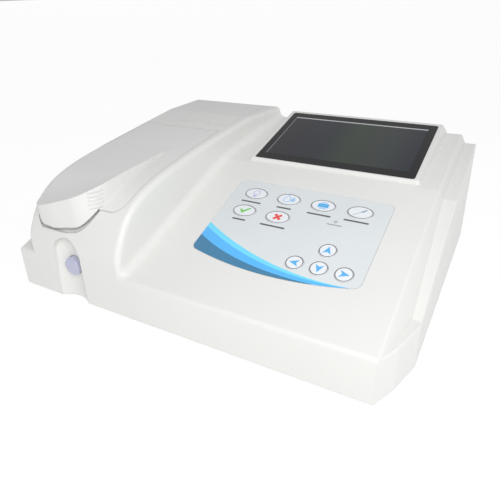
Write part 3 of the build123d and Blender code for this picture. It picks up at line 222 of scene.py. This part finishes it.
def circuit_board():
    """Green solder mask with fine copper tracks showing through."""
    material, tree, shader = new_material("circuit_board")
    place = tree.nodes.new("ShaderNodeTexCoord")
    bricks = tree.nodes.new("ShaderNodeTexBrick")
    bricks.inputs["Scale"].default_value = TRACK_SCALE
    bricks.inputs["Mortar Size"].default_value = TRACK_WIDTH
    bricks.inputs["Color1"].default_value = (0.010, 0.085, 0.035, 1)
    bricks.inputs["Color2"].default_value = (0.012, 0.100, 0.042, 1)
    bricks.inputs["Mortar"].default_value = (0.030, 0.170, 0.080, 1)
    tree.links.new(place.outputs["Object"], bricks.inputs["Vector"])
    tree.links.new(bricks.outputs["Color"], shader.inputs["Base Color"])
    tree.links.new(spread(tree, noise(tree, MASK_SCALE), 0.3, 0.45), shader.inputs["Roughness"])
    return material


WHITE, HOUSING_EDGE = (0.76, 0.76, 0.735), 0.7 * MM
LID_WHITE, LID_EDGE = (0.75, 0.75, 0.73), 1.2 * MM
MAKERS = {
    "housing_white": lambda: moulded("housing_white", WHITE, 0.42, vary=0.012, soften=HOUSING_EDGE),
    "lid_white": lambda: moulded("lid_white", LID_WHITE, 0.40, vary=0.012, soften=LID_EDGE),
    "black_plastic": lambda: moulded("black_plastic", (0.020, 0.020, 0.022),
                                     0.48, grain=0.00004, scale=1900),
    "tray_grey": lambda: moulded("tray_grey", (0.52, 0.53, 0.53), 0.5, grain=0.00004, scale=1400),
    "panel_grey": lambda: moulded("panel_grey", (0.46, 0.47, 0.48), 0.5, grain=0.00004, scale=1400),
    "foot_rubber": lambda: moulded("foot_rubber", (0.03, 0.03, 0.03), 0.8, grain=0.00008, scale=1100),
    "steel": lambda: brushed("steel", (0.60, 0.60, 0.61), 0.32),
    "overlay_film": lambda: moulded("overlay_film", (0.70, 0.735, 0.745),
                                    0.34, grain=0.000012, scale=3400),
    "key_face": lambda: moulded("key_face", (0.80, 0.83, 0.86), 0.30, grain=0.000008, scale=3400),
    "display_glass": screen_glass,
    "screen": lambda: moulded("screen", (0.03, 0.035, 0.03), 0.3),
    "board_green": circuit_board,
    "chip_black": lambda: moulded("chip_black", (0.02, 0.02, 0.022), 0.45, grain=0.00003, scale=1700),
    "button_lilac": lambda: moulded("button_lilac", (0.47, 0.48, 0.63), 0.22, grain=0.000006, coat=0.4),
    "led_green": lambda: moulded("led_green", (0.42, 0.50, 0.47), 0.15, coat=0.5),
    "block_black": lambda: moulded("block_black", (0.018, 0.018, 0.020), 0.38, metallic=0.3),
    "bare_aluminium": lambda: brushed("bare_aluminium", (0.70, 0.71, 0.72), 0.36, (12, 1, 1)),
    "clear_glass": lambda: clear("clear_glass", (0.82, 0.90, 0.93)),
    "filter_glass": lambda: clear("filter_glass", (0.30, 0.16, 0.45), 0.04, 0.75),
    "soft_tube": lambda: clear("soft_tube", (0.72, 0.69, 0.58), 0.3, 0.8),
    "paper": lambda: moulded("paper", (0.86, 0.855, 0.83), 0.85, grain=0.00006, scale=900),
    "brass": lambda: brushed("brass", (0.72, 0.52, 0.24), 0.3),
}


def dress_nodes():
    """Gives every CAD node the material of its slot."""
    made = {}
    for row in frame["record"]["subparts"]:
        slot = row["material_slot"]
        if slot not in made:
            made[slot] = MAKERS[slot]()
        target = NODES[row["node"]]
        target.data.materials.clear()
        target.data.materials.append(made[slot])


# ---------------------------------------------------------------- flat marks
def corners(node):
    """A CAD node's own vertices, in metres."""
    mesh = NODES[node].data
    flat = np.empty(len(mesh.vertices) * 3)
    mesh.vertices.foreach_get("co", flat)
    return flat.reshape(-1, 3)


def tilt_of(node):
    """How steeply a flat plate rises to the rear."""
    points = corners(node)
    normal = np.linalg.svd(points - points.mean(axis=0), full_matrices=False)[2][-1]
    return math.atan2(abs(normal[1]), abs(normal[2]))


class Sheet:
    """A tilted plane on which marks are laid: u runs along X, v up the slope, and h off the surface."""

    def __init__(self, node, tilt):
        self.v = Vector((0, math.cos(tilt), math.sin(tilt)))
        self.n = Vector((0, -math.sin(tilt), math.cos(tilt)))
        points = corners(node)
        self.u0, self.u1 = points[:, 0].min(), points[:, 0].max()
        along = points @ np.array(self.v)
        self.v0, self.v1 = along.min(), along.max()
        self.h = (points @ np.array(self.n)).max()

    def at(self, u, v, h=0.0):
        return Vector((u, 0, 0)) + self.v * v + self.n * (self.h + h)


MARK = 0.06 * MM             # thickness of a printed mark
OVAL_STEPS, BULB_STEPS, DROP_STEPS, BAR_STEPS, CURVE_STEPS = 64, 32, 24, 6, 40


def slab(name, sheet, outline, material, body, lift=0.0, holes=()):
    """A thin closed plate over a 2-D outline, with holes if any."""
    rings = [[Vector((u, v, 0)) for u, v in ring] for ring in (outline, *holes)]
    flat = [p for ring in rings for p in ring]
    mesh = bmesh.new()
    low = [mesh.verts.new(sheet.at(p.x, p.y, lift)) for p in flat]
    high = [mesh.verts.new(sheet.at(p.x, p.y, lift + MARK)) for p in flat]
    for a, b, c in tessellate_polygon(rings):
        mesh.faces.new((high[a], high[b], high[c]))
        mesh.faces.new((low[c], low[b], low[a]))
    start = 0
    for ring in rings:
        for i in range(len(ring)):
            a, b = start + i, start + (i + 1) % len(ring)
            mesh.faces.new((low[a], low[b], high[b], high[a]))
        start += len(ring)
    bmesh.ops.recalc_face_normals(mesh, faces=mesh.faces)
    data = bpy.data.meshes.new(name)
    mesh.to_mesh(data)
    mesh.free()
    piece = bpy.data.objects.new(name, data)
    data.materials.append(material)
    bpy.context.collection.objects.link(piece)
    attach(piece, body)


def oval(cu, cv, a, b, steps=OVAL_STEPS):
    """An ellipse round a place on the sheet, a and b being its half width and half height."""
    turns = [2 * math.pi * i / steps for i in range(steps)]
    return [(cu + a * math.cos(t), cv + b * math.sin(t)) for t in turns]


def placed(points, cu, cv, turn=0.0):
    """Points in millimetres round (0, 0), turned and moved to a place on the sheet."""
    c, s = math.cos(turn), math.sin(turn)
    return [(cu + MM * (x * c - y * s), cv + MM * (x * s + y * c)) for x, y in points]


def bar(width, height):
    """A bar with round ends, centred on (0, 0)."""
    r, half = height / 2, width / 2 - height / 2
    turns = [math.pi * i / BAR_STEPS for i in range(BAR_STEPS + 1)]
    right = [(half + r * math.sin(t), -r * math.cos(t)) for t in turns]
    return right + [(-x, -y) for x, y in right]


# Outlines of the icons, in millimetres round the key's middle.
ARROW = [(4.7, 0), (-3.9, 3.8), (-1.7, 0), (-3.9, -3.8)]
TICK = [(-5.0, 0.4), (-3.4, 2.0), (-1.5, -0.5), (4.2, 5.0), (5.6, 3.9), (-1.4, -4.1)]
CROSS_ARM, CROSS_REACH = 1.35, 4.6
PRINTER_BODY = [(-5.2, -2.3), (5.2, -2.3), (5.2, 2.2), (3.8, 3.0), (-3.8, 3.0), (-5.2, 2.2)]
PRINTER_TOP = [(-3.0, 3.6), (3.0, 3.6), (2.5, 5.0), (-2.5, 5.0)]
PRINTER_SHEET = [(-3.6, -4.4), (3.6, -4.4), (3.2, -2.9), (-3.2, -2.9)]
PIPETTE = [(-6.0, -4.7), (-5.7, -5.0), (1.4, 0.5), (2.1, 0.0), (2.9, 0.6), (5.6, 3.8), (4.5, 4.8),
           (1.2, 2.2), (0.5, 1.5), (1.0, 1.0)]
BULB_Y, BULB_R, BULB_HOLE_R = 1.3, 3.6, 2.8
BULB_FOOT = [(-1.9, -4.9), (1.9, -4.9), (1.9, -2.8), (-1.9, -2.8)]
DROP_PLACE, DROP_R, DROP_HOLE_R = (-1.6, -0.6), 3.9, 3.0
SMALL_DROP_PLACE, SMALL_DROP_R = (4.4, -0.4), 2.3
DROP_POINT, DROP_SHARPNESS = 0.9, 6


def cross_points():
    """An outline of two crossed bars."""
    a, r = CROSS_ARM, CROSS_REACH
    plus = [(a, a), (a, r), (-a, r), (-a, a), (-r, a), (-r, -a), (-a, -a), (-a, -r), (a, -r), (a, -a),
            (r, -a), (r, a)]
    c = math.cos(math.pi / 4)
    return [(c * (x - y), c * (x + y)) for x, y in plus]


def drop(radius, place):
    """A drop with a pointed top."""
    turns = [2 * math.pi * i / DROP_STEPS for i in range(DROP_STEPS)]
    stretch = [1 + DROP_POINT * max(0, math.cos(t)) ** DROP_SHARPNESS for t in turns]
    return [(radius * math.sin(t) + place[0], radius * math.cos(t) * k + place[1])
            for t, k in zip(turns, stretch)]


# ---------------------------------------------------------------- keypad
KEY_TILT = tilt_of("keypad_overlay")
RING_T = 0.75 * MM
SAME_FACE = 0.01 * MM        # how far under the highest point a corner still belongs to the top face
CAPTION_T, CAPTION_DROP = 1.9, 12.3 * MM
LED_CAPTION, LED_CAPTION_T, LED_CAPTION_DROP = 14.0, 1.2, 4.3 * MM
CAPTIONS = {"key_lamp": 21, "key_wash": 15, "key_print": 23, "key_aspirate": 23, "key_enter": 14,
            "key_cancel": 25}        # lengths in millimetres


def ink(name, colour, rough=0.36):
    """A printed layer, nearly smooth."""
    return moulded(name, colour, rough, grain=0.000006, scale=3200, vary=0.04)


def bezier(points):
    """Points along a cubic curve of four control points, as two arrays."""
    p = np.array(points, float)
    t = np.linspace(0, 1, CURVE_STEPS)[:, None]
    s = 1 - t
    line = s ** 3 * p[0] + 3 * s ** 2 * t * p[1] + 3 * s * t ** 2 * p[2] + t ** 3 * p[3]
    return line[:, 0], line[:, 1]


# The blue sweep, in millimetres from the overlay's left edge and from the height of its front corners.
SWOOSH_BOW, SWOOSH_CORNER = 10.5, 7.0
CORNER_RISE, TIP_RISE, THINNEST = 1.03, 0.2, 0.05
CORNER_STEPS, SWEEP_STEPS, SWOOSH_START = 12, 60, 0.15
SWOOSH_END, DARK_END = 148.0, 125.0
SWOOSH_TOP = ((0, 34.5), (37, 13.5), (92, -7.5))
SWOOSH_MIDDLE = ((0, 28.5), (32, 10.0), (87, -11.0))
SWOOSH_LOW = ((0, 17.5), (29, 1.0), (72, -10.0), (DARK_END, -7.0))


def swoosh_edge(u, width):
    """The overlay's bowed front edge with its rounded left corner, as heights over its front corners."""
    bow = -SWOOSH_BOW * (1 - ((u - width / 2) / (width / 2)) ** 2)
    centre = np.interp(SWOOSH_CORNER, u, bow) + SWOOSH_CORNER * CORNER_RISE
    across = np.maximum(0, SWOOSH_CORNER - u)
    arc = centre - np.sqrt(SWOOSH_CORNER ** 2 - across ** 2)
    return np.where(u < SWOOSH_CORNER, np.maximum(bow, arc), bow)


def add_swoosh(sheet, inks):
    """Three bands of blue that sweep along the overlay's bowed front edge to a point."""
    u = np.concatenate([np.linspace(SWOOSH_START, SWOOSH_CORNER, CORNER_STEPS)[:-1],
                        np.linspace(SWOOSH_CORNER, SWOOSH_END, SWEEP_STEPS)])
    edge = swoosh_edge(u, (sheet.u1 - sheet.u0) / MM)
    tip = (SWOOSH_END, edge[-1] + TIP_RISE)
    top = np.interp(u, *bezier([*SWOOSH_TOP, tip]))
    middle = np.interp(u, *bezier([*SWOOSH_MIDDLE, tip]))
    floor = np.where(u < DARK_END, np.maximum(np.interp(u, *bezier(SWOOSH_LOW)), edge), edge)
    base = sheet.v0 + SWOOSH_BOW * MM
    bands = (("swoosh_dark", edge, floor, inks["navy"]), ("swoosh_blue", floor, middle, inks["blue"]),
             ("swoosh_light", np.maximum(middle, edge), top, inks["sky"]))
    for name, below, above, material in bands:
        keep = above - below > THINNEST
        us, low, high = u[keep], below[keep], above[keep]
        ring = [*zip(us, low), *zip(us[::-1], high[::-1])]
        outline = [(sheet.u0 + a * MM, base + b * MM) for a, b in ring]
        slab(name, sheet, outline, material, "case")


def add_key_marks(inks):
    """A thin ring round each key, and its icon."""
    for node in [n for n in NODES if n.startswith("key_") and n != "key_domes"]:
        sheet = Sheet(node, KEY_TILT)
        low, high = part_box(node)
        cu = (low[0] + high[0]) / 2
        points = corners(node)
        top = points[points @ np.array(sheet.n) > sheet.h - SAME_FACE]
        along = top @ np.array(sheet.v)
        cv = (along.min() + along.max()) / 2
        a = (top[:, 0].max() - top[:, 0].min()) / 2
        b = (along.max() - along.min()) / 2
        body = node + "_cap"
        outer, inner = oval(cu, cv, a, b), oval(cu, cv, a - RING_T, b - RING_T)
        slab(node + "_ring", sheet, outer, inks["ring"], body, holes=[inner])
        add_icon(node, sheet, cu, cv, body, inks)


def add_icon(node, sheet, cu, cv, body, inks):
    """The mark on one key: an arrow, or the sign of what the key does."""
    def mark(suffix, points, ink_name, holes=(), turn=0.0):
        slab(f"{node}_{suffix}", sheet, placed(points, cu, cv, turn), inks[ink_name], body,
             holes=[placed(h, cu, cv, turn) for h in holes])

    turns = {"key_right": 0, "key_up": math.pi / 2, "key_left": math.pi, "key_down": -math.pi / 2}
    if node in turns:
        mark("arrow", ARROW, "sky_deep", turn=turns[node])
    elif node == "key_enter":
        mark("tick", TICK, "green")
    elif node == "key_cancel":
        mark("cross", cross_points(), "red")
    elif node == "key_print":
        mark("printer", PRINTER_BODY, "sky_deep")
        mark("printer_top", PRINTER_TOP, "pale")
        mark("printer_sheet", PRINTER_SHEET, "pale")
    elif node == "key_wash":
        mark("drop", drop(DROP_R, DROP_PLACE), "pale", [drop(DROP_HOLE_R, DROP_PLACE)])
        mark("drop_small", drop(SMALL_DROP_R, SMALL_DROP_PLACE), "pale")
    elif node == "key_lamp":
        bulb, hollow = (oval(0, BULB_Y, r, r, BULB_STEPS) for r in (BULB_R, BULB_HOLE_R))
        mark("bulb", bulb, "lilac", [hollow])
        mark("bulb_foot", BULB_FOOT, "lilac")
    elif node == "key_aspirate":
        mark("pipette", PIPETTE, "slate")


def add_captions(sheet, inks):
    """Plain bars in place of the words under the oval keys and under the power light."""
    for node, length in CAPTIONS.items():
        key = corners(node)
        cu = (key[:, 0].min() + key[:, 0].max()) / 2
        cv = float((key @ np.array(sheet.v)).mean()) - CAPTION_DROP
        outline = placed(bar(length, CAPTION_T), cu, cv)
        slab(node + "_caption", sheet, outline, inks["text"], "case")
    led = corners("power_led")
    cu, cv = float(led[:, 0].mean()), float((led @ np.array(sheet.v)).mean())
    outline = placed(bar(LED_CAPTION, LED_CAPTION_T), cu, cv - LED_CAPTION_DROP)
    slab("led_caption", sheet, outline, inks["faint"], "case")


INKS = {
    "navy": (0.060, 0.215, 0.375), "blue": (0.105, 0.480, 0.930), "sky": (0.180, 0.700, 0.960),
    "sky_deep": (0.110, 0.440, 0.800), "ring": (0.150, 0.125, 0.140), "text": (0.115, 0.120, 0.130),
    "faint": (0.330, 0.340, 0.350), "green": (0.200, 0.600, 0.120), "red": (0.820, 0.085, 0.085),
    "pale": (0.360, 0.600, 0.860), "lilac": (0.480, 0.500, 0.760), "slate": (0.300, 0.410, 0.560),
}


def keypad_inks():
    """The printing inks of the keypad, by name."""
    return {name: ink("ink_" + name, colour) for name, colour in INKS.items()}


def add_keypad():
    """Everything printed on the overlay and on its keys."""
    sheet = Sheet("keypad_overlay", KEY_TILT)
    inks = keypad_inks()
    add_swoosh(sheet, inks)
    add_captions(sheet, inks)
    add_key_marks(inks)


# ---------------------------------------------------------------- display
LCD_HALF_W, LCD_HALF_H = 75.6 * MM, 42.5 * MM
# Widths of the painted highlight strips along the top and the left of the liquid crystal area.
LCD_TOP_HIGHLIGHT, LCD_LEFT_HIGHLIGHT = 1.9 * MM, 0.9 * MM


def rectangle(u0, u1, v0, v1):
    return [(u0, v0), (u1, v0), (u1, v1), (u0, v1)]


def add_display():
    """The liquid crystal area under the glass, and a painted highlight along its top and left edges,
    dimmer on the left.
    """
    sheet = Sheet("display_glass", tilt_of("display_glass"))
    mid_u, mid_v = (sheet.u0 + sheet.u1) / 2, (sheet.v0 + sheet.v1) / 2
    u0, u1, v0, v1 = mid_u - LCD_HALF_W, mid_u + LCD_HALF_W, mid_v - LCD_HALF_H, mid_v + LCD_HALF_H
    slab("lcd_area", sheet, rectangle(u0, u1, v0, v1), lcd_area(), "case")
    # Painted highlight: a light strip along the top edge and a dimmer one along the left edge.
    top_highlight = ink("lcd_highlight", (0.55, 0.56, 0.56), 0.25)
    slab("lcd_highlight_top", sheet, rectangle(u0, u1, v1 - LCD_TOP_HIGHLIGHT, v1), top_highlight, "case", MARK)
    dim = ink("lcd_highlight_dim", (0.24, 0.245, 0.25), 0.25)
    left = rectangle(u0, u0 + LCD_LEFT_HIGHLIGHT, v0, v1 - LCD_TOP_HIGHLIGHT)
    slab("lcd_highlight_left", sheet, left, dim, "case", MARK)


# ---------------------------------------------------------------- room
SKY, SKY_STRENGTH = (0.97, 0.98, 1.0), 0.53
FLOOR_SIZE, FLOOR_SHADE, FLOOR_BLOTCH, FLOOR_SCALE = 30, 0.15, 0.01, 3
FLOOR_GLOW, FLOOR_ROUGH, FLOOR_SPECULAR = 0.88, 0.9, 0.1
LAMP_PLACE, LAMP_TARGET, LAMP_SIZE, LAMP_WATTS = (0.35, -0.45, 0.50), (0, 0, 0.06), 0.4, 3.1


def add_lamp():
    data = bpy.data.lights.new("key", "AREA")
    data.shape, data.size, data.energy = "SQUARE", LAMP_SIZE, LAMP_WATTS
    lamp = bpy.data.objects.new("key", data)
    lamp.location = LAMP_PLACE
    aim = Vector(LAMP_TARGET) - Vector(LAMP_PLACE)
    lamp.rotation_euler = aim.to_track_quat("-Z", "Y").to_euler()
    bpy.context.collection.objects.link(lamp)


def add_room():
    """A pale floor, a pale sky and one soft lamp from the front right."""
    mesh = bmesh.new()
    bmesh.ops.create_grid(mesh, x_segments=1, y_segments=1, size=FLOOR_SIZE)
    data = bpy.data.meshes.new("floor")
    mesh.to_mesh(data)
    mesh.free()
    floor = bpy.data.objects.new("floor", data)
    bpy.context.collection.objects.link(floor)
    material, tree, shader = new_material("floor_white")
    greys = shades(tree, noise(tree, FLOOR_SCALE), [FLOOR_SHADE - FLOOR_BLOTCH] * 3,
                   [FLOOR_SHADE + FLOOR_BLOTCH] * 3)
    tree.links.new(greys, shader.inputs["Base Color"])
    shader.inputs["Roughness"].default_value = FLOOR_ROUGH
    shader.inputs["Specular IOR Level"].default_value = FLOOR_SPECULAR
    shader.inputs["Emission Color"].default_value = (1, 1, 1, 1)
    shader.inputs["Emission Strength"].default_value = FLOOR_GLOW
    data.materials.append(material)
    world = bpy.data.worlds.new("studio")
    world.use_nodes = True
    sky = world.node_tree.nodes["Background"]
    sky.inputs["Color"].default_value = (*SKY, 1)
    sky.inputs["Strength"].default_value = SKY_STRENGTH
    bpy.context.scene.world = world
    bpy.context.scene.view_settings.view_transform = "Standard"
    add_lamp()


dress_nodes()
add_keypad()
add_display()
add_camera()
add_room()
